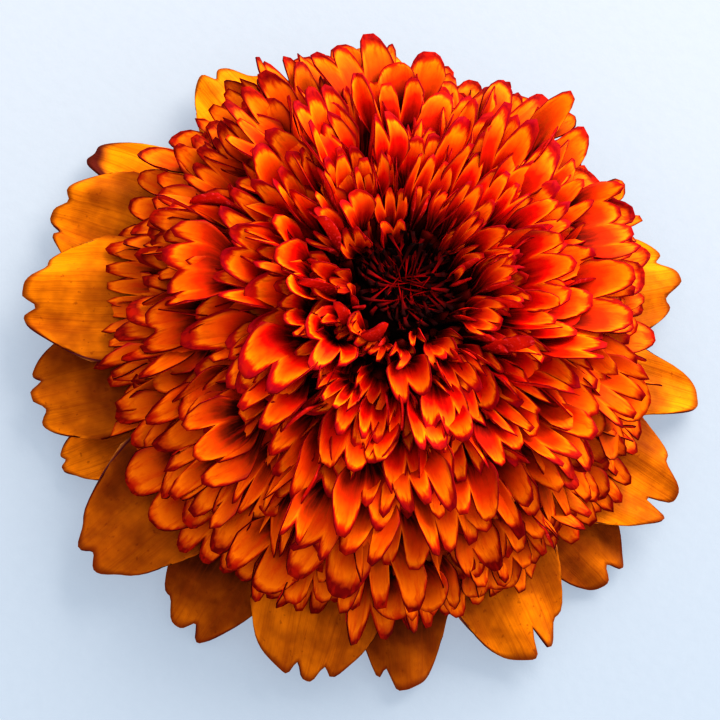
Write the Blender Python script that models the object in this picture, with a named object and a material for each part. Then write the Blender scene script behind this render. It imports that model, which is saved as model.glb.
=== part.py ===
"""A zinnia flower head, cut close under its bracts and lying face up on a level surface.

Every piece is a thin curved sheet given its thickness by a Solidify modifier, except the stem and
receptacle, which is one turned body. All pieces are laid out round the Z axis: a length across the flower
is a radius, and a direction round it is an azimuth. Sizes are in millimetres here and become metres in
point_at().
"""

import math

import bmesh
import bpy
from mathutils import Vector

MM = 0.001

# The stem stub and the receptacle: radius and height of each corner of the turned outline.
STEM_RADIUS = 2.4
CUP_RADIUS = 7.0
CUP_OUTLINE = (
    (0.0, 0.0),
    (STEM_RADIUS, 0.0),
    (STEM_RADIUS, 1.6),
    (4.6, 2.7),
    (6.4, 4.3),
    (CUP_RADIUS, 6.2),
)
FLANK = ((CUP_RADIUS, 9.2), (5.9, 13.2), (2.8, 16.6))
CROWN_OUTLINE = ((1.5, 17.3), (0.0, 17.6))
TURNED_STEPS = 28

# Clear space between a piece and what carries it, and the thickness of each kind of sheet.
SEAT_GAP = 0.3
RAY_THICKNESS = 0.45
FLORET_THICKNESS = 0.32
BRACT_THICKNESS = 0.45

# The head leans: everything above LEAN_FROM moves towards +Y by LEAN for each millimetre of height.
LEAN_FROM = 8.0
LEAN = 0.15

# Ray petals: azimuth in degrees, reach, half width and level in the overlapping pile.
RAYS = (
    (7, 33.6, 5.9, 1),
    (29, 34.0, 5.2, 0),
    (49, 33.4, 5.2, 1),
    (75, 30.6, 5.4, 0),
    (97, 30.4, 5.4, 1),
    (120, 32.2, 5.2, 0),
    (147, 31.8, 5.0, 1),
    (171, 32.8, 4.8, 0),
    (188, 32.8, 5.6, 1),
    (206, 33.4, 6.0, 2),
    (222, 32.6, 5.4, 1),
    (236, 31.4, 3.8, 0),
    (251, 35.0, 6.1, 2),
    (270, 33.0, 5.4, 0),
    (291, 33.2, 6.0, 1),
    (309, 33.2, 5.4, 0),
    (332, 34.0, 6.0, 1),
    (352, 32.8, 5.2, 0),
)
# The path of a ray of the lowest level, as radius and height, and how far each level lifts each point of it.
RAY_PATH = ((CUP_RADIUS + SEAT_GAP, 7.7), (14.0, 8.6), (24.0, 4.2), (None, 0.76))
RAY_LEVEL_RISE = (0.85, 1.3, 1.4, 1.3)
RAY_CLAW_HALF = 0.95
RAY_WIDEST = 0.78
RAY_TIP_TAPER = 0.1
RAY_ARCH = -0.5
# How much of its length each line of a ray, from one edge to the other, falls short of the tip.
RAY_TIP_NOTCHES = (0.13, 0.03, 0.01, 0.06, 0.0, 0.025, 0.12)
RAY_ACROSS = 6
RAY_ALONG = 7

# Crest florets, from the lowest tier to the innermost: count, tip radius, tip height, and rise of the tube
# in degrees.
TIERS = (
    (30, 28.8, 6.8, 16),
    (30, 28.0, 8.9, 21),
    (29, 26.9, 11.8, 28),
    (28, 25.2, 14.6, 36),
    (26, 23.0, 17.2, 44),
    (23, 20.3, 19.5, 51),
    (19, 17.3, 21.4, 57),
    (16, 14.2, 22.7, 62),
    (13, 11.3, 23.2, 66),
    (11, 8.7, 22.7, 69),
    (8, 6.6, 21.4, 72),
)
# A tier sits on a collar. The first and last collar lie at these shares of the flank, clear of it by
# COLLAR_STEP_OUT, and the tube then runs straight for TUBE_SHARE of the way before it bends to the tip.
FIRST_COLLAR = 0.13
LAST_COLLAR = 0.9
COLLAR_STEP_OUT = (SEAT_GAP + 0.15, 0.1)
COLLAR_WIDTH = 0.7
COLLAR_INNER_SHARE = 0.8
TUBE_SHARE = 0.55
# A tier reaches this much further out on one side of the head than on the other. The swing dies away from the
# lowest tier to the innermost.
SWING_REACH = 2.6
SWING_AZIMUTH = 115.0
TUBE_HALF = 0.5
LIMB_SHARE = 0.8
LIMB_STATIONS = ((0.42, 0.0), (0.8, 1.0), (1.0, 0.45))

# Chaffy bracts that close over the centre, outer ring to inner: count, then the radius and height of the
# foot, the shoulder and the tip.
CENTRE_RINGS = (
    (13, (2.2, 17.45), (3.7, 19.2), (1.7, 20.6)),
    (8, (1.35, 17.85), (2.6, 19.1), (1.0, 20.0)),
    (5, (0.5, 18.05), (1.5, 18.8), (0.35, 19.3)),
)
CENTRE_THICKNESS = 0.3
FOOT_WIDTH = 0.4
SHOULDER_SHARE = 0.62
MIDDLE_SHARE = 0.35

# Green bracts under the head, outer row to inner: count, first azimuth, clear distance from the innermost
# row, height of the tip and half width. The outline gives the share of the half width at shares of the
# length.
BRACT_ROWS = (
    (6, 0, 1.6, 5.0, 3.4),
    (6, 30, 0.8, 6.1, 3.5),
    (6, 0, 0.0, 7.0, 3.6),
)
BRACT_CLEARANCE = SEAT_GAP + 0.4
BRACT_OUTLINE = ((0.0, 0.35), (0.3, 0.74), (0.65, 1.0), (0.9, 0.8), (1.0, 0.42))


def clear_scene():
    for obj in list(bpy.data.objects):
        bpy.data.objects.remove(obj, do_unlink=True)


def finish(name, colour, roughness):
    """A plain surface material of one colour."""
    made = bpy.data.materials.new(name)
    made.use_nodes = True
    shader = made.node_tree.nodes["Principled BSDF"]
    shader.inputs["Base Color"].default_value = (*colour, 1.0)
    shader.inputs["Roughness"].default_value = roughness
    return made


def point_at(azimuth, radius, height, aside=0.0):
    """A point in metres: out along an azimuth in radians, then sideways."""
    x = radius * math.cos(azimuth) - aside * math.sin(azimuth)
    y = radius * math.sin(azimuth) + aside * math.cos(azimuth)
    return Vector((x, y, height)) * MM


def lean_over(shape):
    """Leans the upper part of a bmesh towards +Y."""
    for vert in shape.verts:
        vert.co.y += LEAN * max(0.0, vert.co.z - LEAN_FROM * MM)


def between(a, b, share):
    return a + (b - a) * share


def bezier(points, share):
    """The point at a share of the way along a Bezier curve through (radius, height) pairs."""
    points = [Vector(p) for p in points]
    while len(points) > 1:
        points = [a.lerp(b, share) for a, b in zip(points, points[1:])]
    return points[0]


def add_object(name, shape, material, thickness=None):
    """Turns a bmesh into a named object; with a thickness it becomes a closed sheet of that thickness."""
    lean_over(shape)
    bmesh.ops.recalc_face_normals(shape, faces=shape.faces)
    mesh = bpy.data.meshes.new(name)
    shape.to_mesh(mesh)
    shape.free()
    mesh.shade_smooth()
    mesh.materials.append(material)
    obj = bpy.data.objects.new(name, mesh)
    bpy.context.scene.collection.objects.link(obj)
    if thickness:
        solid = obj.modifiers.new("thickness", "SOLIDIFY")
        solid.thickness = thickness * MM
        solid.offset = 0.0
        solid.use_even_offset = True
    return obj


def strip(shape, first_pair, pairs):
    """Adds a strip of quads to a bmesh, from two of its points through further pairs of points."""
    left, right = first_pair
    for a, b in pairs:
        next_left, next_right = shape.verts.new(a), shape.verts.new(b)
        shape.faces.new((left, right, next_right, next_left))
        left, right = next_left, next_right


def sheet(rows):
    """A bmesh of quads over rows of points."""
    shape = bmesh.new()
    made = [[shape.verts.new(p) for p in row] for row in rows]
    for low, high in zip(made, made[1:]):
        for i in range(len(low) - 1):
            shape.faces.new((low[i], low[i + 1], high[i + 1], high[i]))
    return shape


def stem_and_receptacle(material):
    shape = bmesh.new()
    flank = [bezier(FLANK, i / 5) for i in range(6)]
    outline = [shape.verts.new(point_at(0.0, r, z)) for r, z in (*CUP_OUTLINE, *flank, *CROWN_OUTLINE)]
    edges = [shape.edges.new(pair) for pair in zip(outline, outline[1:])]
    bmesh.ops.spin(
        shape,
        geom=outline + edges,
        cent=(0, 0, 0),
        axis=(0, 0, 1),
        angle=math.tau,
        steps=TURNED_STEPS,
        use_merge=True,
    )
    bmesh.ops.remove_doubles(shape, verts=shape.verts, dist=1e-6)
    return add_object("stem_and_receptacle", shape, material)


def ray_half_width(share, widest):
    """A narrow claw that opens into a broad blade, widest at RAY_WIDEST of its length."""
    opened = math.sin(min(1.0, share / RAY_WIDEST) * math.pi / 2) ** 1.5
    closed = max(0.0, (share - RAY_WIDEST) / (1.0 - RAY_WIDEST))
    return between(RAY_CLAW_HALF, widest, opened) * (1.0 - RAY_TIP_TAPER * closed)


def ray_petal(number, azimuth, reach, half_width, level, material):
    path = []
    for (radius, height), rise in zip(RAY_PATH, RAY_LEVEL_RISE):
        path.append((radius or reach, height + level * rise))
    rows = []
    for i in range(RAY_ALONG + 1):
        share = i / RAY_ALONG
        row = []
        for j in range(RAY_ACROSS + 1):
            across = 2.0 * j / RAY_ACROSS - 1.0
            radius, height = bezier(path, share * (1.0 - RAY_TIP_NOTCHES[j] * share**4))
            height += RAY_ARCH * (across * share) ** 2
            aside = across * ray_half_width(share, half_width)
            row.append(point_at(math.radians(azimuth), radius, height, aside))
        rows.append(row)
    return add_object(f"ray_petal_{number:02d}", sheet(rows), material, RAY_THICKNESS)


def ring_points(shape, count, half_angle, radius, height):
    """Two points for each of count pieces round the axis, on either side of the piece's azimuth."""
    made = []
    for i in range(count):
        azimuth = math.tau * i / count
        made.append(shape.verts.new(point_at(azimuth - half_angle, radius, height)))
        made.append(shape.verts.new(point_at(azimuth + half_angle, radius, height)))
    return made


def band(shape, inner, outer):
    count = len(inner)
    for i in range(count):
        j = (i + 1) % count
        shape.faces.new((inner[i], inner[j], outer[j], outer[i]))


def floret_tier(number, count, tip_radius, tip_height, rise, material):
    """One tier of florets: a collar round the receptacle, and a narrow tube and a limb for each floret."""
    share = number / (len(TIERS) - 1)
    start = bezier(FLANK, between(FIRST_COLLAR, LAST_COLLAR, share)) + Vector(COLLAR_STEP_OUT)
    run = math.radians(rise)
    out = Vector((math.cos(run), math.sin(run)))
    tip = Vector((tip_radius, tip_height))
    collar_end = start + out * COLLAR_WIDTH
    bend = start + out * (tip - start).length * TUBE_SHARE
    shape = bmesh.new()
    half_angle = TUBE_HALF / collar_end.x
    inner = ring_points(shape, count, COLLAR_INNER_SHARE * TUBE_HALF / start.x, *start)
    outer = ring_points(shape, count, half_angle, *collar_end)
    band(shape, inner, outer)
    limb_half = LIMB_SHARE * math.pi * tip_radius / count
    for i in range(count):
        azimuth = math.tau * i / count
        swing = 0.5 + 0.5 * math.cos(azimuth - math.radians(SWING_AZIMUTH))
        own_tip = tip + Vector((SWING_REACH * (1.0 - share**2) * swing, 0.0))
        pairs = []
        for along, opened in LIMB_STATIONS:
            radius, height = bezier((collar_end, bend, own_tip), along)
            half = between(TUBE_HALF, limb_half, opened)
            pairs.append([point_at(azimuth, radius, height, side * half) for side in (-1, 1)])
        strip(shape, (outer[2 * i], outer[2 * i + 1]), pairs)
    return add_object(f"floret_tier_{number + 1:02d}", shape, material, FLORET_THICKNESS)


def centre_ring(number, count, foot, shoulder, tip, material):
    """Chaffy bracts on a common foot ring, rising to a shoulder and closing over the centre."""
    shape = bmesh.new()
    inner = ring_points(shape, count, 0.50 * math.pi / count, *foot)
    outer = ring_points(shape, count, 0.45 * math.pi / count, foot[0] + FOOT_WIDTH, foot[1])
    band(shape, inner, outer)
    room = math.pi * shoulder[0] / count
    middle = (between(shoulder[0], tip[0], 0.5), between(shoulder[1], tip[1], 0.8))
    stations = ((shoulder, SHOULDER_SHARE * room), (middle, MIDDLE_SHARE * room), (tip, 0.12))
    for i in range(count):
        azimuth = math.tau * i / count
        pairs = []
        for (radius, height), half in stations:
            pairs.append([point_at(azimuth, radius, height, side * half) for side in (-1, 1)])
        strip(shape, (outer[2 * i], outer[2 * i + 1]), pairs)
    return add_object(f"centre_bracts_{number + 1}", shape, material, CENTRE_THICKNESS)


def involucre_bract(row, place, azimuth, clear, top, half_width, material):
    """A rounded green bract that follows the cup of the receptacle at a clear distance."""
    gap = BRACT_CLEARANCE + clear
    path = (
        (4.4, 2.5 - gap),
        (6.2 + gap, 3.0 - gap),
        (CUP_RADIUS + gap, 5.2 - 0.5 * gap),
        (CUP_RADIUS + gap, top),
    )
    rows = []
    for share, opened in BRACT_OUTLINE:
        radius, height = bezier(path, share)
        turn = opened * half_width / radius
        rows.append([point_at(azimuth + turn * side, radius, height) for side in (-1, -0.5, 0, 0.5, 1)])
    name = f"green_bract_{row + 1}_{place + 1}"
    return add_object(name, sheet(rows), material, BRACT_THICKNESS)


def stand_on_origin(parent):
    """Moves the parent so that the middle of the flower's underside lies at the world origin."""
    view = bpy.context.evaluated_depsgraph_get()
    corners = []
    for obj in parent.children:
        corners += [Vector(corner) for corner in obj.evaluated_get(view).bound_box]
    low = [min(corner[i] for corner in corners) for i in range(3)]
    high = [max(corner[i] for corner in corners) for i in range(3)]
    parent.location = (-(low[0] + high[0]) / 2, -(low[1] + high[1]) / 2, -low[2])


def main():
    clear_scene()
    head = bpy.data.objects.new("flower_head", None)
    bpy.context.scene.collection.objects.link(head)
    petal = finish("ray_orange", (0.80, 0.24, 0.01), 0.6)
    crest = finish("crest_orange_red", (0.75, 0.10, 0.01), 0.55)
    centre = finish("centre_maroon", (0.10, 0.004, 0.006), 0.7)
    green = finish("bract_green", (0.12, 0.20, 0.05), 0.7)
    pieces = [stem_and_receptacle(green)]
    for number, ray in enumerate(RAYS, 1):
        pieces.append(ray_petal(number, *ray, petal))
    for number, tier in enumerate(TIERS):
        pieces.append(floret_tier(number, *tier, crest))
    for number, ring in enumerate(CENTRE_RINGS):
        pieces.append(centre_ring(number, *ring, centre))
    for row, (count, first, *shape) in enumerate(BRACT_ROWS):
        for place in range(count):
            azimuth = math.radians(first + 360.0 * place / count)
            pieces.append(involucre_bract(row, place, azimuth, *shape, green))
    for piece in pieces:
        piece.parent = head
    stand_on_origin(head)


main()
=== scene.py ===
"""The looks of a crested zinnia head: ray petals, tiers of hollowed florets, chaffy centre, bracts and stem.

Lengths are metres and angles radians, unless a comment says otherwise. A place on the flower is given by its
azimuth round the leaning middle line of the head, its distance from that line and its height.
"""

import math
import random

import bpy
import numpy as np
from mathutils import Matrix, Vector


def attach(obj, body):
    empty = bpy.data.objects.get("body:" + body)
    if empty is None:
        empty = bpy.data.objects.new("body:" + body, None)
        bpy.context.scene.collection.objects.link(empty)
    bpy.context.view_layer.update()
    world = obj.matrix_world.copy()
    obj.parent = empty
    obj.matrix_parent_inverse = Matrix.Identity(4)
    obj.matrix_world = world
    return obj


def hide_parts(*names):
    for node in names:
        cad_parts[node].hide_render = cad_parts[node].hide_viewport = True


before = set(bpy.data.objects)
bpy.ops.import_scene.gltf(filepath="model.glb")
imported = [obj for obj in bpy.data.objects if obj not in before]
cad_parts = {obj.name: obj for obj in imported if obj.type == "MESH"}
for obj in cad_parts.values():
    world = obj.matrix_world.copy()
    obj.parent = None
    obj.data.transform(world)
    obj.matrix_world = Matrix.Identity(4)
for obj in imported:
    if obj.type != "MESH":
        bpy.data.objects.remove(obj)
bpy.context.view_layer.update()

MM = 0.001
TAU = math.tau

# ---------------------------------------------------------------- the florets of the crest

# One row for each tier of florets, lowest first: florets, rise of the tube in degrees, length and width of a
# limb, how far its sides curl up (degrees each), its lift at the foot and droop at the tip (degrees) and the
# radius of the tube's mouth. Lengths are millimetres.
TIERS = (
    (30, 16, 8.4, 7.4, 22, 4, 8, 0.60),
    (30, 21, 8.8, 7.6, 24, 6, 10, 0.65),
    (29, 28, 9.4, 7.8, 26, 7, 12, 0.70),
    (28, 36, 9.8, 8.0, 30, 8, 14, 0.75),
    (26, 44, 10.0, 8.0, 34, 9, 14, 0.80),
    (23, 51, 10.0, 7.8, 40, 10, 14, 0.90),
    (19, 57, 9.4, 7.4, 48, 10, 14, 1.00),
    (16, 62, 8.0, 6.6, 60, 8, 16, 1.05),
    (13, 66, 6.6, 5.6, 80, 4, 20, 0.95),
    (11, 69, 5.0, 4.2, 110, 0, 30, 0.62),
    (8, 72, 3.8, 3.4, 120, 0, 50, 0.55),
)

# Smaller florets stand between the others in these tiers, lower and not so far out.
FILLED_TIERS = range(2, 11)
FILLER_SIZE = 0.86
FILLER_LOWER = 0.8 * MM
FILLER_REACH = 0.92

# Towards these azimuths (degrees) the florets stop short by so many millimetres, most in the lowest tier.
SHORT_SIDES = ((212, 2.8), (25, 1.2), (125, 1.0), (280, -2.4))

# How far a floret may differ from its tier. Length, width and curl are shares of the tier's own, the place of
# the tip is millimetres out and up, the place round the tier is a share of the step there, and the rest is
# degrees.
LENGTH_RANGE = (0.86, 1.14)
WIDTH_RANGE = (0.72, 1.22)
CURL_RANGE = (0.5, 1.4)
TIP_OUT_RANGE = (-1.8, 0.9)
TIP_UP_RANGE = (-0.9, 1.0)
STEP_RANGE = (-0.28, 0.28)
PITCH_RANGE = (-10, 16)
TWIST_RANGE = (-32, 32)
LIFT_RANGE = (-6, 10)
DROOP_RANGE = (-14, 16)
ROLL_RANGE = (-24, 24)
SWING_RANGE = (-13, 13)
CREST_SEED = 7

# This share of the limbs of the lowest tier is narrow and twisted on edge, and more towards the centre.
ON_EDGE = 0.12
ON_EDGE_GROWS = 1.6
ON_EDGE_TWISTS = (-65, 65)
ON_EDGE_WIDTH = 0.7

# Where the notches between the teeth of a limb can lie, from one side at -1 to the other at 1.
NOTCHES = (
    (-1, -1 / 3, 1 / 3, 1),
    (-1, -4 / 9, 2 / 9, 1),
    (-1, -2 / 9, 1 / 3, 1),
    (-1, -5 / 9, 0, 5 / 9, 1),
    (-1, 0, 1),
    (-1, 1 / 9, 1),
)
MOST_TEETH = 5
# How deep a limb is notched, as a share of it, and how each notch differs from that.
NOTCH_DEPTHS = (0.24, 0.58)
NOTCH_RANGE = (0.6, 1.0)
# How far each tooth bends down and how much it falls short, as shares of the limb, how rounded it is across and
# how its tone differs from the limb's.
TOOTH_BEND_RANGE = (-0.12, 0.18)
TOOTH_SHORT_RANGE = (0.0, 0.12)
TOOTH_ROUND_RANGE = (-0.2, 1.0)
TOOTH_TONE_RANGE = (-0.25, 0.25)
# Share of its width that a limb has at its foot, and where along it the blade is at its broadest.
LIMB_FOOT_WIDTH = 0.24
LIMB_BROADEST = 0.66
# From this share of the limb on the teeth bend each on its own, fully so after this much more of it.
TEETH_PART = 0.55
TEETH_LENGTH = 0.45

LIMB_ACROSS = 18
LIMB_ALONG = 7
LIMB_THICKNESS = 0.12 * MM

TUBE_SIDES = 5
TUBE_STEPS = 4
# Radius at the foot of a tube in millimetres, and the share of its length from which it widens to its mouth.
TUBE_FOOT = 0.42
TUBE_WIDENS = 0.35
# Where the bend of a floret's route lies between its start and its end, and the steps in which it is walked.
ROUTE_BEND = 0.55
ROUTE_STEPS = 20
# Points of a CAD tier this near to its innermost and outermost points are where its florets start and end.
START_BAND = 0.25 * MM
END_BAND = 0.35 * MM

# ---------------------------------------------------------------- the ray petals

# In the order of their nodes: notches in the tip as (place across, depth, breadth), then how pointed the tip
# is, how much the sides roll up, the size of the ruffle along the edge, how far the tip curves to the left in
# millimetres and how bright the petal is: partly its own tone, partly painted light and shade for where it
# lies.
RAY_SHAPES = (
    (((0.15, 0.10, 0.10), (-0.5, 0.05, 0.14)), 0.22, 0.4, 1.2, 0.4, 0.24),
    (((-0.55, 0.03, 0.10),), 0.70, 0.2, 0.8, -0.8, 0.70),
    (((-0.3, 0.06, 0.14), (0.4, 0.06, 0.14)), 0.22, 0.3, 1.0, 0.0, 0.52),
    (((-0.3, 0.05, 0.14), (0.3, 0.05, 0.14)), 0.22, 0.2, 0.8, 0.3, 0.50),
    (((0.0, 0.06, 0.14),), 0.22, 0.2, 0.8, -0.3, 0.50),
    (((-0.35, 0.04, 0.14), (0.35, 0.05, 0.14)), 0.22, 0.3, 0.9, 0.0, 0.60),
    (((-0.1, 0.06, 0.12), (0.55, 0.04, 0.12)), 0.30, 0.5, 0.8, 1.2, 0.58),
    (((0.0, 0.02, 0.2),), 0.80, 1.7, 0.4, 2.6, 0.90),
    (((-0.40, 0.06, 0.12), (0.20, 0.05, 0.12)), 0.20, 0.7, 1.7, 0.2, 0.50),
    (((-0.15, 0.05, 0.10), (0.5, 0.03, 0.12)), 0.24, 0.5, 1.4, 0.0, 0.74),
    (((-0.3, 0.04, 0.12), (0.25, 0.05, 0.12)), 0.20, 0.5, 1.6, 0.3, 0.50),
    (((0.1, 0.03, 0.1),), 0.36, 1.5, 0.5, -0.6, 0.66),
    (((0.05, 0.03, 0.14), (0.48, 0.03, 0.14), (-0.45, 0.02, 0.14)), 0.30, 0.8, 1.8, 0.5, 0.40),
    (((-0.1, 0.05, 0.12), (0.5, 0.04, 0.12)), 0.26, 0.3, 1.3, 0.3, 0.00),
    (((-0.35, 0.06, 0.10), (0.12, 0.06, 0.10)), 0.18, 0.3, 1.5, 0.0, 0.34),
    (((0.30, 0.07, 0.09), (0.62, 0.04, 0.10)), 0.42, 0.3, 1.4, 0.0, 0.00),
    (((-0.05, 0.10, 0.08), (-0.50, 0.04, 0.12)), 0.30, 0.3, 1.4, 0.0, 0.36),
    (((0.0, 0.07, 0.14),), 0.30, 0.3, 1.0, 0.0, 0.04),
)
RAY_SEED = 11
RAY_ACROSS = 34
RAY_ALONG = 32
RAY_THICKNESS = 0.26 * MM
# Points of a CAD petal this near to its middle line are on its spine.
SPINE_BAND = 0.35 * MM
# How much wider a ray petal is than its CAD solid, and half the width of its narrow foot.
RAY_WIDER = 1.08
RAY_FOOT_HALF = 0.9 * MM
# A petal that rolls more than ROLLED stands up at its sides. More than FOLDED, and its tip is dark as well.
ROLLED = 1.0
FOLDED = 1.6

# ---------------------------------------------------------------- the centre and the bracts

# Chaffy bracts in each ring over the centre: how many, how far they spread past the shoulder of the CAD ring
# and how far their tips sink, in millimetres.
CHAFF_RINGS = ((48, 1.30, 1.4), (40, 1.4, 1.0), (26, 1.5, 0.5))
CHAFF_SEED = 5
CHAFF_ACROSS = 2
CHAFF_ALONG = 8
CHAFF_THICKNESS = 0.10 * MM
# Points of a CAD ring this near to its foot, shoulder or tip are counted with it.
RING_BAND = 0.3 * MM
# How far a bract may differ from its ring: share of a step round it, tip out and up and shoulder up in
# millimetres, share of the spread, and bow and hook to one side in millimetres.
CHAFF_STEP_RANGE = (-0.45, 0.45)
CHAFF_TIP_OUT_RANGE = (-1.2, 1.2)
CHAFF_TIP_UP_RANGE = (-0.5, 0.5)
CHAFF_SPREAD_RANGE = (0.85, 1.1)
CHAFF_SHOULDER_RANGE = (0.0, 1.2)
CHAFF_BOW_RANGE = (-1.8, 1.8)
CHAFF_HOOK_RANGE = (-1.0, 1.0)

BRACT_ROWS = 3
BRACTS_IN_ROW = 6
BRACT_GRID = 12
BRACT_THICKNESS = 0.35 * MM

# ---------------------------------------------------------------- floor, light and camera

# Floor colours, painted darker near the viewer and paler away from it as light falling off, and a glow that
# keeps the shadows pale.
PAPER_NEAR_PAINTED_SHADE = (0.152, 0.160, 0.166)
PAPER_FAR_PAINTED_LIGHT = (0.192, 0.185, 0.178)
PAPER_GLOW = (0.69, 0.82, 1.0, 1.0)
PAPER_GLOW_STRENGTH = 0.385
FLOOR_SIZE = 3.0

SKY_COLOUR = (0.90, 0.95, 1.0, 1.0)
SKY_STRENGTH = 0.98
KEY_PLACE = (0.03, 0.45, 0.37)
KEY_AIM = (0.0, 0.0, 0.01)
KEY_SIZE = 0.50
KEY_WATTS = 4.9
KEY_COLOUR = (1.0, 0.99, 0.97)

CAMERA_ELEVATION = 69.0
CAMERA_ROLL = 33.0
CAMERA_DISTANCE = 0.42
CAMERA_LENS = 220.0
CAMERA_AIM = (-0.0001, -0.0015, 0.008)

# ---------------------------------------------------------------- the middle line of the head


def vertex_places(mesh):
    flat = np.empty(len(mesh.vertices) * 3)
    mesh.vertices.foreach_get("co", flat)
    return flat.reshape(-1, 3)


def points_of(node):
    """The points of a CAD node, one of each."""
    points = vertex_places(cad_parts[node].data).astype(np.float32)
    return np.unique(points.round(6), axis=0)


def middle_line():
    """The centre of each ring of the turned receptacle, as heights and as points."""
    points = points_of("stem_and_receptacle")
    heights = np.unique(points[:, 2].round(5))
    centres = []
    for height in heights:
        ring = points[np.abs(points[:, 2] - height) < 1e-5]
        centres.append((ring.min(0) + ring.max(0))[:2] / 2)
    return heights, np.array(centres)


LINE_HEIGHTS, LINE_CENTRES = middle_line()
LINE_TOP_SLOPE = (LINE_CENTRES[-1] - LINE_CENTRES[-3]) / (LINE_HEIGHTS[-1] - LINE_HEIGHTS[-3])


def middle_at(height):
    """The middle line at one height or at many, as x and y; it runs straight on above its top."""
    over = np.maximum(0.0, np.asarray(height) - LINE_HEIGHTS[-1])
    x = np.interp(height, LINE_HEIGHTS, LINE_CENTRES[:, 0]) + over * LINE_TOP_SLOPE[0]
    y = np.interp(height, LINE_HEIGHTS, LINE_CENTRES[:, 1]) + over * LINE_TOP_SLOPE[1]
    return x, y


def round_the_line(points):
    """Azimuth, radius and height of points round the middle line."""
    x, y = middle_at(points[:, 2])
    across = points[:, 0] - x
    along = points[:, 1] - y
    return np.arctan2(along, across), np.hypot(across, along), points[:, 2]


def lean_over(points):
    """Moves points laid out round an upright line so that they lie round the leaning middle line."""
    x, y = middle_at(points[:, 2])
    return points + np.stack((x, y, np.zeros(len(points))), axis=1)


def stand_at(azimuth, points):
    """Turns points laid out along x to their azimuth on the leaning head."""
    turned = np.array(Matrix.Rotation(azimuth, 3, "Z"))
    return lean_over((turned @ points.T).T)


# ---------------------------------------------------------------- turns and curves


def turn_between(a, b):
    return (a - b + math.pi) % TAU - math.pi


def middle_azimuth(azimuths):
    return math.atan2(np.sin(azimuths).mean(), np.cos(azimuths).mean())


def rotation(degrees, axis):
    return Matrix.Rotation(math.radians(degrees), 4, axis)


def bezier(points, share):
    points = [Vector(point) for point in points]
    while len(points) > 1:
        points = [a.lerp(b, share) for a, b in zip(points, points[1:])]
    return points[0]


def eased(share):
    """0 below 0, 1 above 1, smooth between."""
    share = np.clip(share, 0.0, 1.0)
    return share * share * (3.0 - 2.0 * share)


# ---------------------------------------------------------------- mesh tools


def deselect():
    bpy.ops.object.select_all(action="DESELECT")


def only(obj):
    deselect()
    obj.select_set(True)
    bpy.context.view_layer.objects.active = obj


def flat_sheet(name, across, along):
    """A flat grid with u across it and v from its foot to its tip, to be shaped."""
    deselect()
    bpy.ops.mesh.primitive_grid_add(x_subdivisions=across, y_subdivisions=along, size=1.0, calc_uvs=True)
    sheet = bpy.context.object
    sheet.name = name
    sheet.data.uv_layers[0].name = "UVMap"
    return sheet


def grid_places(sheet):
    """Where each point of a flat grid lies: u from -1 to 1 across, v from 0 to 1 along."""
    places = vertex_places(sheet.data)
    return places[:, 0] * 2.0, places[:, 1] + 0.5


def mark(obj, **values):
    """Gives the points of a piece one value each, or all the same, of each named attribute."""
    for name, value in values.items():
        layer = obj.data.attributes.new(name, "FLOAT", "POINT")
        layer.data.foreach_set("value", np.zeros(len(obj.data.vertices)) + value)


def shape(obj, points, **values):
    """Moves the points of a piece to their places and marks them."""
    obj.data.vertices.foreach_set("co", np.asarray(points).ravel())
    mark(obj, **values)


def copy_of(master, points, **values):
    """A copy of a master object with its own mesh, its points moved."""
    made = master.copy()
    made.data = master.data.copy()
    shape(made, points, **values)
    bpy.context.scene.collection.objects.link(made)
    return made


def join(parts, name):
    deselect()
    for part in parts:
        part.select_set(True)
    bpy.context.view_layer.objects.active = parts[0]
    bpy.ops.object.join()
    joined = bpy.context.object
    joined.name = name
    joined.data.name = name
    return joined


def give_thickness(sheet, thickness, below=1, rim=2):
    """Makes closed solids of open sheets: material slot 0 above, and the given slots below and at the rim."""
    only(sheet)
    solid = sheet.modifiers.new("thickness", "SOLIDIFY")
    solid.thickness = thickness
    solid.offset = 0.0
    solid.material_offset = below
    solid.material_offset_rim = rim
    bpy.ops.object.modifier_apply(modifier="thickness")


def smooth(obj):
    only(obj)
    bpy.ops.object.shade_smooth()


def set_materials(obj, *materials):
    obj.data.materials.clear()
    for material in materials:
        obj.data.materials.append(material)


def finish_piece(obj, node):
    """Smooths a piece and sets it in the model: it moves with the head and stands for its CAD node."""
    smooth(obj)
    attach(obj, "root")
    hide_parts(node)


# ---------------------------------------------------------------- materials


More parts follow.
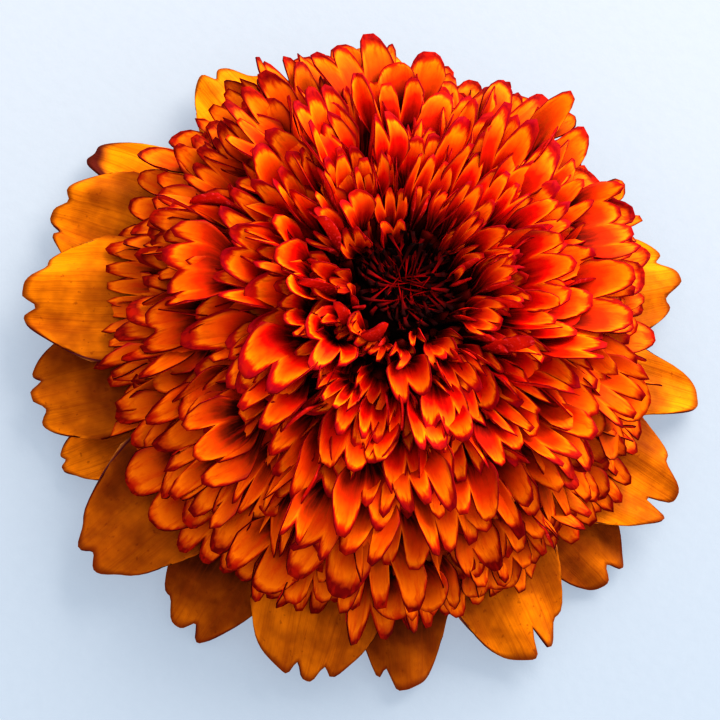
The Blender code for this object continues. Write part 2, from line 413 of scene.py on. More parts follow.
class Nodes:
    """A material's node tree, with a short call for each kind of node that the petals use."""

    GLOSS = 0.05

    def __init__(self, name):
        self.material = bpy.data.materials.new(name)
        self.material.use_nodes = True
        self.tree = self.material.node_tree
        self.shader = self.tree.nodes["Principled BSDF"]

    def add(self, kind, **settings):
        node = self.tree.nodes.new(kind)
        for name, value in settings.items():
            setattr(node, name, value)
        return node

    def link(self, value, socket):
        if hasattr(value, "is_linked"):
            self.tree.links.new(value, socket)
        else:
            socket.default_value = value

    def math(self, operation, a, b=0.0):
        node = self.add("ShaderNodeMath", operation=operation)
        self.link(a, node.inputs[0])
        self.link(b, node.inputs[1])
        return node.outputs[0]

    def fade(self, value, low, high):
        """0 below low, 1 above high, smooth between."""
        node = self.add("ShaderNodeMapRange", interpolation_type="SMOOTHSTEP")
        self.link(value, node.inputs["Value"])
        node.inputs["From Min"].default_value = low
        node.inputs["From Max"].default_value = high
        return node.outputs["Result"]

    def push(self, value, amount, middle=0.5):
        """How far a value lies from its middle, times an amount."""
        return self.math("MULTIPLY", self.math("SUBTRACT", value, middle), amount)

    def from_middle(self, u):
        """0 on a petal's middle line, 1 at its sides."""
        return self.math("ABSOLUTE", self.math("SUBTRACT", self.math("MULTIPLY", u, 2.0), 1.0))

    def attribute(self, name):
        return self.add("ShaderNodeAttribute", attribute_name=name).outputs["Fac"]

    def split(self, vector):
        node = self.add("ShaderNodeSeparateXYZ")
        self.link(vector, node.inputs[0])
        return node.outputs

    def uv(self):
        """u and v of the piece's own map."""
        outputs = self.split(self.add("ShaderNodeUVMap", uv_map="UVMap").outputs[0])
        return outputs[0], outputs[1]

    def vector(self, x, y, z=0.0):
        node = self.add("ShaderNodeCombineXYZ")
        for value, socket in zip((x, y, z), node.inputs):
            self.link(value, socket)
        return node.outputs[0]

    def place(self):
        return self.add("ShaderNodeTexCoord").outputs["Object"]

    def noise(self, vector, scale, detail=3.0, roughness=0.55):
        node = self.add("ShaderNodeTexNoise")
        self.link(vector, node.inputs["Vector"])
        node.inputs["Scale"].default_value = scale
        node.inputs["Detail"].default_value = detail
        node.inputs["Roughness"].default_value = roughness
        return node.outputs["Fac"]

    def ramp(self, value, stops):
        node = self.add("ShaderNodeValToRGB")
        elements = node.color_ramp.elements
        while len(elements) < len(stops):
            elements.new(0.5)
        for element, (place, colour) in zip(elements, stops):
            element.position = place
            element.color = (*colour, 1.0)
        self.link(value, node.inputs[0])
        return node.outputs[0]

    def mix(self, share, a, b):
        node = self.add("ShaderNodeMix", data_type="RGBA")
        self.link(share, node.inputs[0])
        self.link(a if hasattr(a, "is_linked") else (*a, 1.0), node.inputs[6])
        self.link(b if hasattr(b, "is_linked") else (*b, 1.0), node.inputs[7])
        return node.outputs[2]

    def tint(self, colour, mask, weight, over):
        """Lays one colour over another where the mask is 1, by no more than the weight."""
        return self.mix(self.math("MULTIPLY", mask, weight), colour, over)

    def bump(self, height, strength, distance, under=None):
        node = self.add("ShaderNodeBump")
        node.inputs["Strength"].default_value = strength
        node.inputs["Distance"].default_value = distance
        self.link(height, node.inputs["Height"])
        if under is not None:
            self.link(under, node.inputs["Normal"])
        return node.outputs[0]

    def finish(self, colour, normal, roughness=0.55, sheen=0.0, sheen_tint=(1.0, 0.6, 0.4)):
        self.link(colour, self.shader.inputs["Base Color"])
        self.link(normal, self.shader.inputs["Normal"])
        self.link(roughness, self.shader.inputs["Roughness"])
        self.shader.inputs["Sheen Weight"].default_value = sheen
        self.shader.inputs["Sheen Tint"].default_value = (*sheen_tint, 1.0)
        self.shader.inputs["Specular IOR Level"].default_value = self.GLOSS
        return self.material


def veined(nodes, u, v, lines, waver):
    """Fine dark veins that run from foot to tip."""
    drift = nodes.math("MULTIPLY", nodes.noise(nodes.vector(u, v), scale=3.0), waver)
    across = nodes.math("MULTIPLY", nodes.math("ADD", u, drift), lines)
    stretched = nodes.vector(across, nodes.math("MULTIPLY", v, 1.6))
    return nodes.noise(stretched, scale=1.0, detail=4.0, roughness=0.65)


def crest_face():
    """The upper side of a floret's limb: dark red throat that turns nearly black at its foot as painted shade
    between the florets, orange blade, crimson tips and margin; the outer tiers browner and darker, partly their
    own colour and partly painted shade low on the head.
    """
    nodes = Nodes("crest_face")
    u, v = nodes.uv()
    rise = nodes.attribute("rise")
    blotches = nodes.noise(nodes.place(), scale=420.0)
    veins = veined(nodes, u, v, lines=16.0, waver=0.10)
    shift = nodes.math("ADD", nodes.push(blotches, 0.26), nodes.push(nodes.attribute("tone"), 0.16))
    along = nodes.math("ADD", nodes.math("ADD", v, shift), nodes.push(veins, 0.22))
    # The nearly black first stops of these ramps paint shade between the florets over the limbs' own dark red
    # throats.
    low = nodes.ramp(along, (
        (0.22, (0.045, 0.0020, 0.0002)),
        (0.36, (0.270, 0.0300, 0.0003)),
        (0.50, (0.560, 0.0900, 0.0004)),
        (0.76, (0.800, 0.1800, 0.0006)),
        (0.86, (0.520, 0.0700, 0.0006)),
        (0.93, (0.160, 0.0025, 0.0008)),
    ))
    high = nodes.ramp(along, (
        (0.26, (0.030, 0.0003, 0.0001)),
        (0.40, (0.300, 0.0014, 0.0002)),
        (0.55, (0.680, 0.0060, 0.0002)),
        (0.68, (0.980, 0.1150, 0.0003)),
        (0.80, (1.000, 0.2500, 0.0004)),
        (0.88, (0.520, 0.0080, 0.0040)),
        (0.94, (0.310, 0.0016, 0.0120)),
    ))
    core = nodes.ramp(along, (
        (0.16, (0.045, 0.0006, 0.0002)),
        (0.40, (0.300, 0.0040, 0.0003)),
        (0.58, (0.640, 0.0500, 0.0005)),
        (0.76, (0.900, 0.1900, 0.0010)),
        (0.87, (0.600, 0.0280, 0.0010)),
        (0.95, (0.420, 0.0040, 0.0120)),
    ))
    # The outer tiers take the browner, darker low ramp: partly their own colour, partly painted shade low on
    # the head.
    colour = nodes.mix(nodes.fade(rise, 0.10, 0.60), low, high)
    colour = nodes.mix(nodes.fade(rise, 0.72, 0.92), colour, core)
    colour = nodes.tint(colour, nodes.fade(veins, 0.44, 0.70), 0.62, (0.50, 0.016, 0.0005))
    margin = nodes.math("MULTIPLY", nodes.fade(nodes.from_middle(u), 0.72, 1.0), nodes.fade(v, 0.35, 0.75))
    colour = nodes.tint(colour, margin, 0.85, (0.28, 0.002, 0.008))
    grain = nodes.noise(nodes.place(), scale=5200.0, detail=2.0)
    normal = nodes.bump(veins, strength=0.40, distance=0.00016)
    normal = nodes.bump(grain, strength=0.22, distance=0.00005, under=normal)
    return nodes.finish(colour, normal, roughness=0.60)


def crest_back():
    """The under side of a limb: dull red with pink down."""
    nodes = Nodes("crest_back")
    u, v = nodes.uv()
    veins = veined(nodes, u, v, lines=12.0, waver=0.10)
    down = nodes.noise(nodes.place(), scale=3200.0, detail=2.0)
    colour = nodes.ramp(v, (
        (0.20, (0.050, 0.0008, 0.0006)),
        (0.50, (0.340, 0.0060, 0.0020)),
        (0.80, (0.640, 0.0200, 0.0040)),
        (1.00, (0.400, 0.0050, 0.0060)),
    ))
    colour = nodes.tint(colour, nodes.fade(down, 0.52, 0.72), 0.6, (0.80, 0.070, 0.085))
    normal = nodes.bump(veins, strength=0.35, distance=0.00012)
    normal = nodes.bump(down, strength=0.5, distance=0.00006, under=normal)
    return nodes.finish(colour, normal, roughness=0.65)


def petal_rim(name, outer, inner):
    """The thin edge of a petal: one colour low on the head, another towards its centre."""
    nodes = Nodes(name)
    grain = nodes.noise(nodes.place(), scale=2600.0, detail=2.0)
    colour = nodes.mix(nodes.fade(nodes.attribute("rise"), 0.1, 0.5), outer, inner)
    colour = nodes.mix(grain, colour, outer)
    return nodes.finish(colour, nodes.bump(grain, strength=0.3, distance=0.00004), roughness=0.6)


def floret_tube():
    """The narrow tube below a limb."""
    nodes = Nodes("floret_tube")
    streaks = nodes.noise(nodes.place(), scale=1500.0)
    colour = nodes.mix(streaks, (0.045, 0.0008, 0.0004), (0.140, 0.0040, 0.0006))
    return nodes.finish(colour, nodes.bump(streaks, strength=0.3, distance=0.0001), roughness=0.6)


def ray_face():
    """The upper side of a ray petal: orange with yellower patches, fine veins, specks and a brown margin,
    darker towards its foot with painted shade under the crest, and each petal lighter or darker with its own
    tone and painted light and shade.
    """
    nodes = Nodes("ray_face")
    u, v = nodes.uv()
    patches = nodes.noise(nodes.place(), scale=110.0, detail=4.0, roughness=0.6)
    # Each petal's tone: partly its own, partly painted light and shade for where it lies on the head.
    shade = nodes.math("ADD", patches, nodes.push(nodes.attribute("tone"), 0.50))
    # Painted shade: darker towards the foot, where the petal lies under the crest.
    shade = nodes.math("ADD", shade, nodes.push(v, 0.60, middle=0.82))
    colour = nodes.ramp(shade, (
        (0.18, (0.080, 0.0120, 0.0003)),
        (0.34, (0.210, 0.0400, 0.0003)),
        (0.50, (0.430, 0.1080, 0.0005)),
        (0.68, (0.860, 0.2450, 0.0010)),
    ))
    # Painted shade: a dark brown foot under the crest.
    colour = nodes.mix(nodes.fade(v, 0.30, 0.75), (0.26, 0.048, 0.0005), colour)
    veins = veined(nodes, u, v, lines=34.0, waver=0.07)
    colour = nodes.tint(colour, nodes.fade(veins, 0.45, 0.72), 0.42, (0.26, 0.044, 0.0008))
    specks = nodes.noise(nodes.place(), scale=1500.0, detail=2.0)
    colour = nodes.tint(colour, nodes.fade(specks, 0.64, 0.74), 0.4, (0.14, 0.014, 0.0008))
    margin = nodes.math("MAXIMUM", nodes.fade(nodes.from_middle(u), 0.90, 1.0), nodes.fade(v, 0.965, 1.0))
    colour = nodes.tint(colour, margin, 0.7, (0.16, 0.012, 0.0010))
    corner = nodes.fade(nodes.math("SUBTRACT", v, nodes.math("MULTIPLY", u, 0.22)), 0.80, 0.87)
    colour = nodes.tint(colour, corner, nodes.attribute("folded"), (0.11, 0.014, 0.007))
    grain = nodes.noise(nodes.place(), scale=4200.0, detail=2.0)
    normal = nodes.bump(veins, strength=0.45, distance=0.00025)
    normal = nodes.bump(grain, strength=0.22, distance=0.00005, under=normal)
    return nodes.finish(colour, normal, roughness=0.55, sheen=0.02, sheen_tint=(1.0, 0.7, 0.4))


def ray_back():
    """The under side of a ray petal: paler, with raised veins."""
    nodes = Nodes("ray_back")
    u, v = nodes.uv()
    veins = veined(nodes, u, v, lines=26.0, waver=0.06)
    colour = nodes.mix(nodes.fade(veins, 0.40, 0.70), (0.74, 0.25, 0.030), (0.50, 0.13, 0.015))
    colour = nodes.mix(nodes.fade(v, 0.05, 0.35), (0.30, 0.22, 0.04), colour)
    colour = nodes.mix(nodes.fade(v, 0.88, 0.98), colour, (0.10, 0.012, 0.020))
    normal = nodes.bump(veins, strength=0.5, distance=0.0003)
    return nodes.finish(colour, normal, roughness=0.6, sheen=0.12, sheen_tint=(1.0, 0.8, 0.5))


def chaff():
    """A chaffy bract over the centre: nearly black foot, crimson fringe."""
    nodes = Nodes("chaff")
    u, v = nodes.uv()
    colour = nodes.ramp(nodes.math("ADD", v, nodes.push(nodes.attribute("tone"), 0.3)), (
        (0.36, (0.006, 0.0001, 0.0001)),
        (0.62, (0.034, 0.0002, 0.0003)),
        (0.82, (0.170, 0.0004, 0.0014)),
        (1.00, (0.360, 0.0008, 0.0030)),
    ))
    veins = veined(nodes, u, v, lines=8.0, waver=0.05)
    return nodes.finish(colour, nodes.bump(veins, strength=0.6, distance=0.0001), roughness=0.6)


def bract_face():
    """A green bract with a dark, papery margin."""
    nodes = Nodes("bract_face")
    u, v = nodes.uv()
    veins = veined(nodes, u, v, lines=18.0, waver=0.06)
    colour = nodes.mix(nodes.noise(nodes.place(), scale=260.0), (0.060, 0.120, 0.022), (0.150, 0.250, 0.060))
    colour = nodes.tint(colour, veins, 0.35, (0.05, 0.09, 0.02))
    margin = nodes.math("MAXIMUM", nodes.fade(nodes.from_middle(u), 0.84, 0.97), nodes.fade(v, 0.88, 0.97))
    colour = nodes.mix(margin, colour, (0.020, 0.012, 0.008))
    normal = nodes.bump(veins, strength=0.4, distance=0.0002)
    return nodes.finish(colour, normal, roughness=0.5, sheen=0.05, sheen_tint=(0.9, 1.0, 0.8))


def stem_skin():
    """Green stem with a pale cut end, under a receptacle painted dark inside the head as shade between the
    florets.
    """
    nodes = Nodes("stem_skin")
    place = nodes.place()
    height = nodes.split(place)[2]
    hairs = nodes.noise(place, scale=2600.0, detail=2.0)
    colour = nodes.mix(nodes.noise(place, scale=380.0), (0.080, 0.150, 0.030), (0.170, 0.260, 0.070))
    colour = nodes.mix(nodes.fade(height, 0.00005, 0.0003), (0.42, 0.46, 0.20), colour)
    # Painted shade: the receptacle is near black inside the head, as shade between the florets.
    colour = nodes.mix(nodes.fade(height, 0.0080, 0.0100), colour, (0.030, 0.004, 0.002))
    normal = nodes.bump(hairs, strength=0.5, distance=0.0001)
    return nodes.finish(colour, normal, roughness=0.6, sheen=0.15, sheen_tint=(0.9, 1.0, 0.8))


def pale_paper():
    """Floor paper, painted a little paler away from the viewer as light falling off, with a glow that keeps the
    shadows pale.
    """
    nodes = Nodes("pale_paper")
    grain = nodes.noise(nodes.place(), scale=900.0)
    x, y, _ = nodes.split(nodes.place())
    # Painted light: the paper darkens towards the viewer, as the light falls off.
    away = nodes.math("SUBTRACT", y, nodes.math("MULTIPLY", x, 0.64))
    colour = nodes.mix(nodes.fade(away, -0.055, 0.045), PAPER_NEAR_PAINTED_SHADE, PAPER_FAR_PAINTED_LIGHT)
    colour = nodes.tint(colour, grain, 0.05, (0.5, 0.5, 0.5))
    nodes.shader.inputs["Emission Color"].default_value = PAPER_GLOW
    nodes.shader.inputs["Emission Strength"].default_value = PAPER_GLOW_STRENGTH
    return nodes.finish(colour, nodes.bump(grain, strength=0.15, distance=0.0002), roughness=0.8)


# ---------------------------------------------------------------- crest florets


def spokes(node, count):
    """For each floret of a tier: its azimuth, and radius and height where it starts and where it ends."""
    azimuths, radii, heights = round_the_line(points_of(node))
    found = []
    for i in range(count):
        azimuth = TAU * i / count
        near = np.abs(turn_between(azimuths, azimuth)) < 0.45 * TAU / count
        r, z = radii[near], heights[near]
        end = r > r.max() - END_BAND
        start = r < r.min() + START_BAND
        found.append((azimuth, (r[start].mean(), z[start].mean()), (r[end].mean(), z[end].mean())))
    return found


def cut_into_teeth(u, dice):
    """Parts a limb into teeth and crowds its columns at the notches between them.

    Gives u anew, how many teeth there are, each point's tooth and its place across it, from -1 to 1.
    """
    notches = dice.choice(NOTCHES)
    teeth = len(notches) - 1
    place = np.interp(u, notches, np.arange(teeth + 1))
    tooth = np.minimum(place.astype(int), teeth - 1)
    across = 2.0 * (place - tooth) - 1.0
    across = np.sign(across) * np.abs(across) ** 0.6
    u = np.interp(tooth + 0.5 + 0.5 * across, np.arange(teeth + 1), notches)
    return u, teeth, tooth, across


def limb_points(u, v, length, width, curled, lift, droop, twist, dice):
    """A floret's limb along x, hollow side up: narrow foot and broad blade cut into rounded teeth.

    Gives the points and which tooth each of them belongs to.
    """
    u, teeth, tooth, across = cut_into_teeth(u, dice)
    deepest = dice.uniform(*NOTCH_DEPTHS)
    depth = np.array([deepest * dice.uniform(*NOTCH_RANGE) for _ in range(teeth + 1)])
    bent = np.array([dice.uniform(*TOOTH_BEND_RANGE) for _ in range(teeth)])
    shorter = np.array([dice.uniform(*TOOTH_SHORT_RANGE) for _ in range(teeth)])

    # How far along the limb each point lies, once the teeth are rounded off.
    short = depth[tooth + (across > 0)] * np.abs(across) ** 3 + shorter[tooth] + 0.08 * np.abs(u) ** 3
    rows = 1.0 - (1.0 - v) ** 1.4
    share = rows * (1.0 - np.minimum(short, NOTCH_DEPTHS[1]) * rows**0.6)
    parted = eased((rows - TEETH_PART) / TEETH_LENGTH)

    # The hollow cross-section, with each tooth rounded and bent.
    half = 0.5 * width * (LIMB_FOOT_WIDTH + (1.0 - LIMB_FOOT_WIDTH) * eased(share / LIMB_BROADEST))
    out = half / curled * np.sin(u * curled)
    up = half / curled * (1.0 - np.cos(u * curled))
    up += 0.30 * half / teeth * (across**2 - 0.4) * parted * dice.uniform(*TOOTH_ROUND_RANGE)
    up -= length * bent[tooth] * parted * (1.0 - np.abs(across) ** 3)
    angle = twist * share**1.5
    out, up = out * np.cos(angle) - up * np.sin(angle), out * np.sin(angle) + up * np.cos(angle)

    # The arc from its lift at the foot to its droop at the tip.
    pitch = lift - (lift + droop) * share
    bend = -(lift + droop)
    x = length * (np.sin(pitch) - math.sin(lift)) / bend
    z = -length * (np.cos(pitch) - math.cos(lift)) / bend
    points = np.stack((x - np.sin(pitch) * up, -out, z + np.cos(pitch) * up, np.ones_like(u)), axis=1)
    return points, tooth


def route_to_mouth(start, end, climb, length):
    """The bend in a floret's route, and the mouth of its tube, one limb's length back from its end."""
    run = math.radians(climb)
    bend = start + Vector((math.cos(run), math.sin(run))) * (end - start).length * ROUTE_BEND
    path = [bezier((start, bend, end), i / ROUTE_STEPS) for i in range(ROUTE_STEPS + 1)]
    left = length
    for before, after in zip(reversed(path[:-1]), reversed(path)):
        left -= (after - before).length
        if left <= 0:
            break
    return bend, before


def floret(blank, tier, spoke, size, rise, dice):
    """The limb of one floret, laid along its spoke, and the route of the tube below it."""
    count, climb, length, width, curled, lift, droop, mouth = tier
    azimuth, start, end = spoke
    length *= MM * size * dice.uniform(*LENGTH_RANGE)
    width *= MM * size * dice.uniform(*WIDTH_RANGE)
    start, end = Vector(start), Vector(end)
    if size < 1.0:
        end = start.lerp(end, FILLER_REACH) - Vector((0.0, FILLER_LOWER))
    short = sum(by * max(0.0, math.cos(azimuth - math.radians(side))) ** 1.5 for side, by in SHORT_SIDES)
    tip_out = dice.uniform(*TIP_OUT_RANGE) - short * (1.0 - rise)
    end += Vector((tip_out, dice.uniform(*TIP_UP_RANGE))) * MM
    azimuth += dice.uniform(*STEP_RANGE) * TAU / count
    bend, base = route_to_mouth(start, end, climb, length)
    chord = end - base
    pitch = math.degrees(math.atan2(chord.y, chord.x)) + dice.uniform(*PITCH_RANGE)
    twist = dice.uniform(*TWIST_RANGE)
    if dice.random() < ON_EDGE * (1.0 + ON_EDGE_GROWS * rise):
        twist = dice.choice(ON_EDGE_TWISTS)
        width *= ON_EDGE_WIDTH
    curled = math.radians(curled * dice.uniform(*CURL_RANGE))
    lift = math.radians(lift + dice.uniform(*LIFT_RANGE))
    droop = math.radians(droop + dice.uniform(*DROOP_RANGE))
    u, v = grid_places(blank)
    points, tooth = limb_points(u, v, length, width, curled, lift, droop, math.radians(twist), dice)

    seat = Matrix.Rotation(azimuth, 4, "Z") @ Matrix.Translation((base.x, 0, base.y)) @ rotation(-pitch, "Y")
    seat = seat @ rotation(dice.uniform(*ROLL_RANGE), "X") @ rotation(dice.uniform(*SWING_RANGE), "Z")
    seat = seat @ Matrix.Translation((0, 0, -0.5 * mouth * size * MM))
    moved = (np.array(seat) @ points.T).T[:, :3]
    tone = dice.uniform(0.0, 1.0)
    tone += np.array([dice.uniform(*TOOTH_TONE_RANGE) for _ in range(MOST_TEETH)])[tooth]
    return copy_of(blank, lean_over(moved), tone=tone, rise=rise), (azimuth, start, bend, base, mouth * size)


def floret_tubes(master, routes, rise):
    """A tube along each route, from the collar up to the mouth."""
    places = vertex_places(master.data)
    made = []
    for azimuth, start, bend, base, mouth in routes:
        curve = (start, (start + base) / 4 + bend / 2, base)
        points = []
        for x, y, z in places:
            spine = bezier(curve, z)
            ahead = bezier(curve, min(1.0, z + 0.02)) - bezier(curve, max(0.0, z - 0.02))
            ahead.normalize()
            wider = (mouth - TUBE_FOOT) * max(0.0, z - TUBE_WIDENS) / (1.0 - TUBE_WIDENS)
            radius = MM * (TUBE_FOOT + wider)
            out = spine + Vector((-ahead.y, ahead.x)) * y * radius
            points.append((out.x, x * radius, out.y))
        made.append(copy_of(master, stand_at(azimuth, np.array(points)), tone=0.5, rise=rise))
    return made


def tube_master():
    """An upright prism one unit tall, in steps, closed at both ends."""
    deselect()
    bpy.ops.mesh.primitive_circle_add(vertices=TUBE_SIDES, radius=1.0, fill_type="NGON")
    tube = bpy.context.object
    bpy.ops.object.mode_set(mode="EDIT")
    bpy.ops.mesh.select_all(action="SELECT")
    for _ in range(TUBE_STEPS):
        bpy.ops.mesh.extrude_region_move(TRANSFORM_OT_translate={"value": (0, 0, 1.0 / TUBE_STEPS)})
    bpy.ops.mesh.select_all(action="SELECT")
    bpy.ops.mesh.normals_make_consistent(inside=False)
    bpy.ops.object.mode_set(mode="OBJECT")
    tube.data.uv_layers.new(name="UVMap")
    return tube


def crest(materials):
    """All the tiers of florets, each tier one piece; the last of the materials is the tubes'."""
    dice = random.Random(CREST_SEED)
    blank = flat_sheet("limb", LIMB_ACROSS, LIMB_ALONG)
    tube = tube_master()
    set_materials(blank, *materials)
    set_materials(tube, *materials)
    for polygon in tube.data.polygons:
        polygon.material_index = len(materials) - 1
    for number, tier in enumerate(TIERS, 1):
        node = f"floret_tier_{number:02d}"
        name = f"florets_{number:02d}"
        rise = (number - 1) / (len(TIERS) - 1)
        count = tier[0]
        found = spokes(node, count)
        sizes = [1.0] * count
        if number in FILLED_TIERS:
            found += [(azimuth + math.pi / count, start, end) for azimuth, start, end in found]
            sizes += [FILLER_SIZE] * count
        florets = [floret(blank, tier, spoke, size, rise, dice) for spoke, size in zip(found, sizes)]
        limbs, routes = zip(*florets)
        sheets = join(limbs, name)
        give_thickness(sheets, LIMB_THICKNESS)
        piece = join([sheets] + floret_tubes(tube, routes, rise), name)
        finish_piece(piece, node)
    for master in (blank, tube):
        bpy.data.objects.remove(master)


# ---------------------------------------------------------------- ray petals


def spine_of(node):
    """Azimuth, half width, middle line as radii and heights, and reach of a ray petal's CAD solid."""
    azimuths, radii, heights = round_the_line(points_of(node))
    turn = middle_azimuth(azimuths[radii > 0.8 * radii.max()])
    for _ in range(3):
        aside = radii * np.sin(turn_between(azimuths, turn))
        far_aside = aside[radii > 0.6 * radii.max()]
        turn += (far_aside.min() + far_aside.max()) / 2 / (0.85 * radii.max())
    aside = radii * np.sin(turn_between(azimuths, turn))
    out = radii * np.cos(turn_between(azimuths, turn))
    middle = np.abs(aside) < SPINE_BAND
    order = np.argsort(out[middle])
    pairs = len(order) // 2 * 2
    spine_r = out[middle][order][:pairs].reshape(-1, 2).mean(1)
    spine_z = heights[middle][order][:pairs].reshape(-1, 2).mean(1)
    return turn, np.abs(aside).max(), spine_r, spine_z, out.max()


def ray_share(u, v, notches, pointed, number):
    """How far along a ray petal each point lies, once its tip is rounded, pointed and notched."""
    short = pointed * np.abs(u) ** 2.6 + 0.06 * np.abs(u) ** 8
    for place, depth, breadth in notches:
        short += depth * np.exp(-((u - place) / breadth) ** 2)
    short += 0.006 * np.sin(u * 9.0 + number)
    return v * (1.0 - short * v**5)


def ray_half_width(share, half_width):
    """Half the width along a ray petal: a narrow foot that opens wide and draws in a little at the tip."""
    opened = np.sin(np.clip(share / 0.80, 0.0, 1.0) * math.pi / 2) ** 1.4
    drawn_in = 1.0 - 0.14 * np.clip((share - 0.72) / 0.28, 0.0, 1.0) ** 2
    return (RAY_FOOT_HALF + (half_width - RAY_FOOT_HALF) * opened) * drawn_in


def ray_relief(up, u, share, rolled, ruffled, phase):
    """Adds a ray petal's fallen sides, rolled sides, ruffles, ribs and slow wave to its heights."""
    up = up - 0.35 * MM * (u * share) ** 2
    up += rolled * MM * np.abs(u) ** 3 * share**2 * (1.1 if rolled > ROLLED else 0.5)
    up += ruffled * 0.45 * MM * np.sin(share * 11.0 + phase + 2.0 * u) * np.abs(u) ** 2.0 * share
    up += ruffled * 0.52 * MM * np.cos(u * 5.5 + phase) * share**2
    up += 0.10 * MM * np.cos(u * 13.0 + 3.0 * share + phase) * share
    up += 0.25 * MM * np.sin(share * 5.0 + phase) * share
    return np.maximum(up, 0.5 * RAY_THICKNESS + 0.02 * MM)


def rays(materials):
    """The ray petals, each along the spine of its CAD solid."""
    dice = random.Random(RAY_SEED)
    for number, (notches, pointed, rolled, ruffled, curve, tone_and_painted_shade) in enumerate(RAY_SHAPES, 1):
        node = f"ray_petal_{number:02d}"
        azimuth, half_width, spine_r, spine_z, reach = spine_of(node)
        sheet = flat_sheet(f"ray_{number:02d}", RAY_ACROSS, RAY_ALONG)
        u, v = grid_places(sheet)
        share = ray_share(u, v, notches, pointed, number)
        spine_share = np.linspace(0.0, 1.0, len(spine_r))
        out = np.interp(share, spine_share, spine_r / spine_r[-1]) * reach
        up = np.interp(share, spine_share, spine_z)
        aside = -u * ray_half_width(share, half_width * RAY_WIDER) + curve * MM * share**3
        up = ray_relief(up, u, share, rolled, ruffled, dice.uniform(0, TAU))
        points = stand_at(azimuth, np.stack((out, aside, up), axis=1))
        shape(sheet, points, tone=tone_and_painted_shade, folded=float(rolled > FOLDED))
        set_materials(sheet, *materials)
        give_thickness(sheet, RAY_THICKNESS)
        finish_piece(sheet, node)


# ---------------------------------------------------------------- centre


def chaff_points(u, v, foot, shoulder, tip, dice):
    """A narrow blade along x that rises from its foot, leans over its shoulder and ends in a point."""
    spine = np.array([bezier((foot, shoulder * 1.1, shoulder, tip), share) for share in v])
    bow = dice.uniform(*CHAFF_BOW_RANGE) * MM * np.sin(v * math.pi)
    aside = bow + dice.uniform(*CHAFF_HOOK_RANGE) * MM * v**2
    half = MM * (0.08 + 0.19 * np.sin(v * math.pi)) * (1.0 - 0.80 * v**3)
    return np.stack((spine[:, 0], aside - u * half, spine[:, 1] + 0.5 * half * u**2), axis=1)


def chaff_rings(material):
    """Narrow bracts that lean over the centre from all sides, ring by ring, and leave it hollow."""
    dice = random.Random(CHAFF_SEED)
    blade = flat_sheet("blade", CHAFF_ACROSS, CHAFF_ALONG)
    set_materials(blade, material)
    u, v = grid_places(blade)
    for number, (count, spread, sink) in enumerate(CHAFF_RINGS, 1):
        node = f"centre_bracts_{number}"
        _, radii, heights = round_the_line(points_of(node))
        foot = Vector((radii[heights < heights.min() + RING_BAND].mean(), heights.min()))
        shoulder = Vector((radii.max(), heights[radii > radii.max() - RING_BAND].mean()))
        tip = Vector((radii[heights > heights.max() - RING_BAND].mean(), heights.max()))
        blades = []
        for i in range(count):
            azimuth = TAU * (i + dice.uniform(*CHAFF_STEP_RANGE)) / count
            tip_out = dice.uniform(*CHAFF_TIP_OUT_RANGE)
            own_tip = tip + Vector((tip_out, dice.uniform(*CHAFF_TIP_UP_RANGE) - sink)) * MM
            out = shoulder.x * spread * dice.uniform(*CHAFF_SPREAD_RANGE)
            own_shoulder = Vector((out, shoulder.y + dice.uniform(*CHAFF_SHOULDER_RANGE) * MM))
            points = stand_at(azimuth, chaff_points(u, v, foot, own_shoulder, own_tip, dice))
            blades.append(copy_of(blade, points, tone=dice.random()))
        piece = join(blades, f"chaff_{number}")
        give_thickness(piece, CHAFF_THICKNESS, below=0, rim=0)
        finish_piece(piece, node)
    bpy.data.objects.remove(blade)


# ---------------------------------------------------------------- bracts and stem


def bract_points(u, v, azimuths, radii, heights):
    """A spoon-shaped bract in the place of its CAD solid: out from the stem, then up round the head."""
    azimuth = middle_azimuth(azimuths)
    half_turn = np.abs(turn_between(azimuths, azimuth)).max()
    low = heights < heights.min() + 0.4 * MM
    foot = Vector((radii[low].min() + 0.2 * MM, heights.min() + 0.25 * MM))
    top = Vector((radii[np.argsort(heights)[-4:]].mean(), heights.max()))
    corner = Vector((top.x, foot.y + 0.25 * (top.y - foot.y)))
    belly = (foot + corner) / 2 + Vector((0.9, -0.3)) * MM
    share = v * (1.0 - 0.16 * np.abs(u) ** 2.5 * v**4)
    spine = np.array([bezier((foot, belly, corner, top), s) for s in share])
    half = half_turn * (0.45 + 0.55 * np.sin(np.clip(share / 0.7, 0, 1) * math.pi / 2))
    half *= 1.0 - 0.55 * np.clip((share - 0.7) / 0.3, 0, 1) ** 2
    turn = azimuth + u * half
    out = spine[:, 0] + 0.1 * MM * np.cos(u * 6.0)
    return lean_over(np.stack((out * np.cos(turn), out * np.sin(turn), spine[:, 1]), axis=1))


def bracts(materials):
    """The green bracts under the head."""
    for row in range(1, BRACT_ROWS + 1):
        for place in range(1, BRACTS_IN_ROW + 1):
            node = f"green_bract_{row}_{place}"
            sheet = flat_sheet(f"bract_{row}_{place}", BRACT_GRID, BRACT_GRID)
            u, v = grid_places(sheet)
            shape(sheet, bract_points(u, v, *round_the_line(points_of(node))))
            set_materials(sheet, *materials)
            give_thickness(sheet, BRACT_THICKNESS)
            finish_piece(sheet, node)


def stem(material):
    """The stem and receptacle keep their CAD body."""
    set_materials(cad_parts["stem_and_receptacle"], material)


# ---------------------------------------------------------------- floor, light and camera


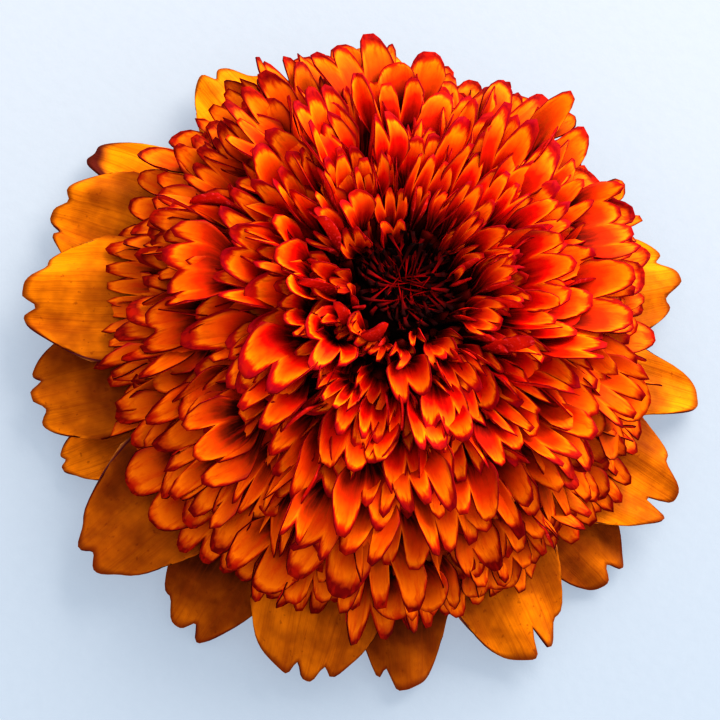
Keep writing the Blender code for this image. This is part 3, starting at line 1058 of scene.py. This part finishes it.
def floor():
    deselect()
    bpy.ops.mesh.primitive_plane_add(size=FLOOR_SIZE, location=(0, 0, 0))
    sheet = bpy.context.object
    sheet.name = "floor"
    set_materials(sheet, pale_paper())


def lights():
    """Even light from all round and one broad lamp from the far side."""
    world = bpy.data.worlds.new("soft_sky")
    world.use_nodes = True
    sky = world.node_tree.nodes["Background"]
    sky.inputs["Color"].default_value = SKY_COLOUR
    sky.inputs["Strength"].default_value = SKY_STRENGTH
    bpy.context.scene.world = world
    key = bpy.data.lights.new("key", "AREA")
    key.shape = "DISK"
    key.size = KEY_SIZE
    key.energy = KEY_WATTS
    key.color = KEY_COLOUR
    lamp = bpy.data.objects.new("key", key)
    lamp.location = KEY_PLACE
    lamp.rotation_euler = (Vector(KEY_AIM) - Vector(KEY_PLACE)).to_track_quat("-Z", "Y").to_euler()
    bpy.context.scene.collection.objects.link(lamp)


def camera():
    data = bpy.data.cameras.new("camera")
    data.lens = CAMERA_LENS
    data.clip_start = 0.01
    viewer = bpy.data.objects.new("camera", data)
    tilt = rotation(90.0 - CAMERA_ELEVATION, "X") @ rotation(CAMERA_ROLL, "Z")
    viewer.matrix_world = Matrix.Translation(CAMERA_AIM) @ tilt @ Matrix.Translation((0, 0, CAMERA_DISTANCE))
    bpy.context.scene.collection.objects.link(viewer)
    bpy.context.scene.camera = viewer
    bpy.context.scene.view_settings.view_transform = "Standard"
    bpy.context.scene.view_settings.look = "High Contrast"


# ---------------------------------------------------------------- the flower

crest_rim = petal_rim("crest_rim", outer=(0.070, 0.0012, 0.0008), inner=(0.420, 0.0040, 0.0120))
ray_rim = petal_rim("ray_rim", outer=(0.13, 0.010, 0.001), inner=(0.13, 0.010, 0.001))
bract_rim = petal_rim("bract_rim", outer=(0.03, 0.02, 0.01), inner=(0.03, 0.02, 0.01))
green = bract_face()

crest((crest_face(), crest_back(), crest_rim, floret_tube()))
rays((ray_face(), ray_back(), ray_rim))
chaff_rings(chaff())
bracts((green, green, bract_rim))
stem(stem_skin())
floor()
lights()
camera()
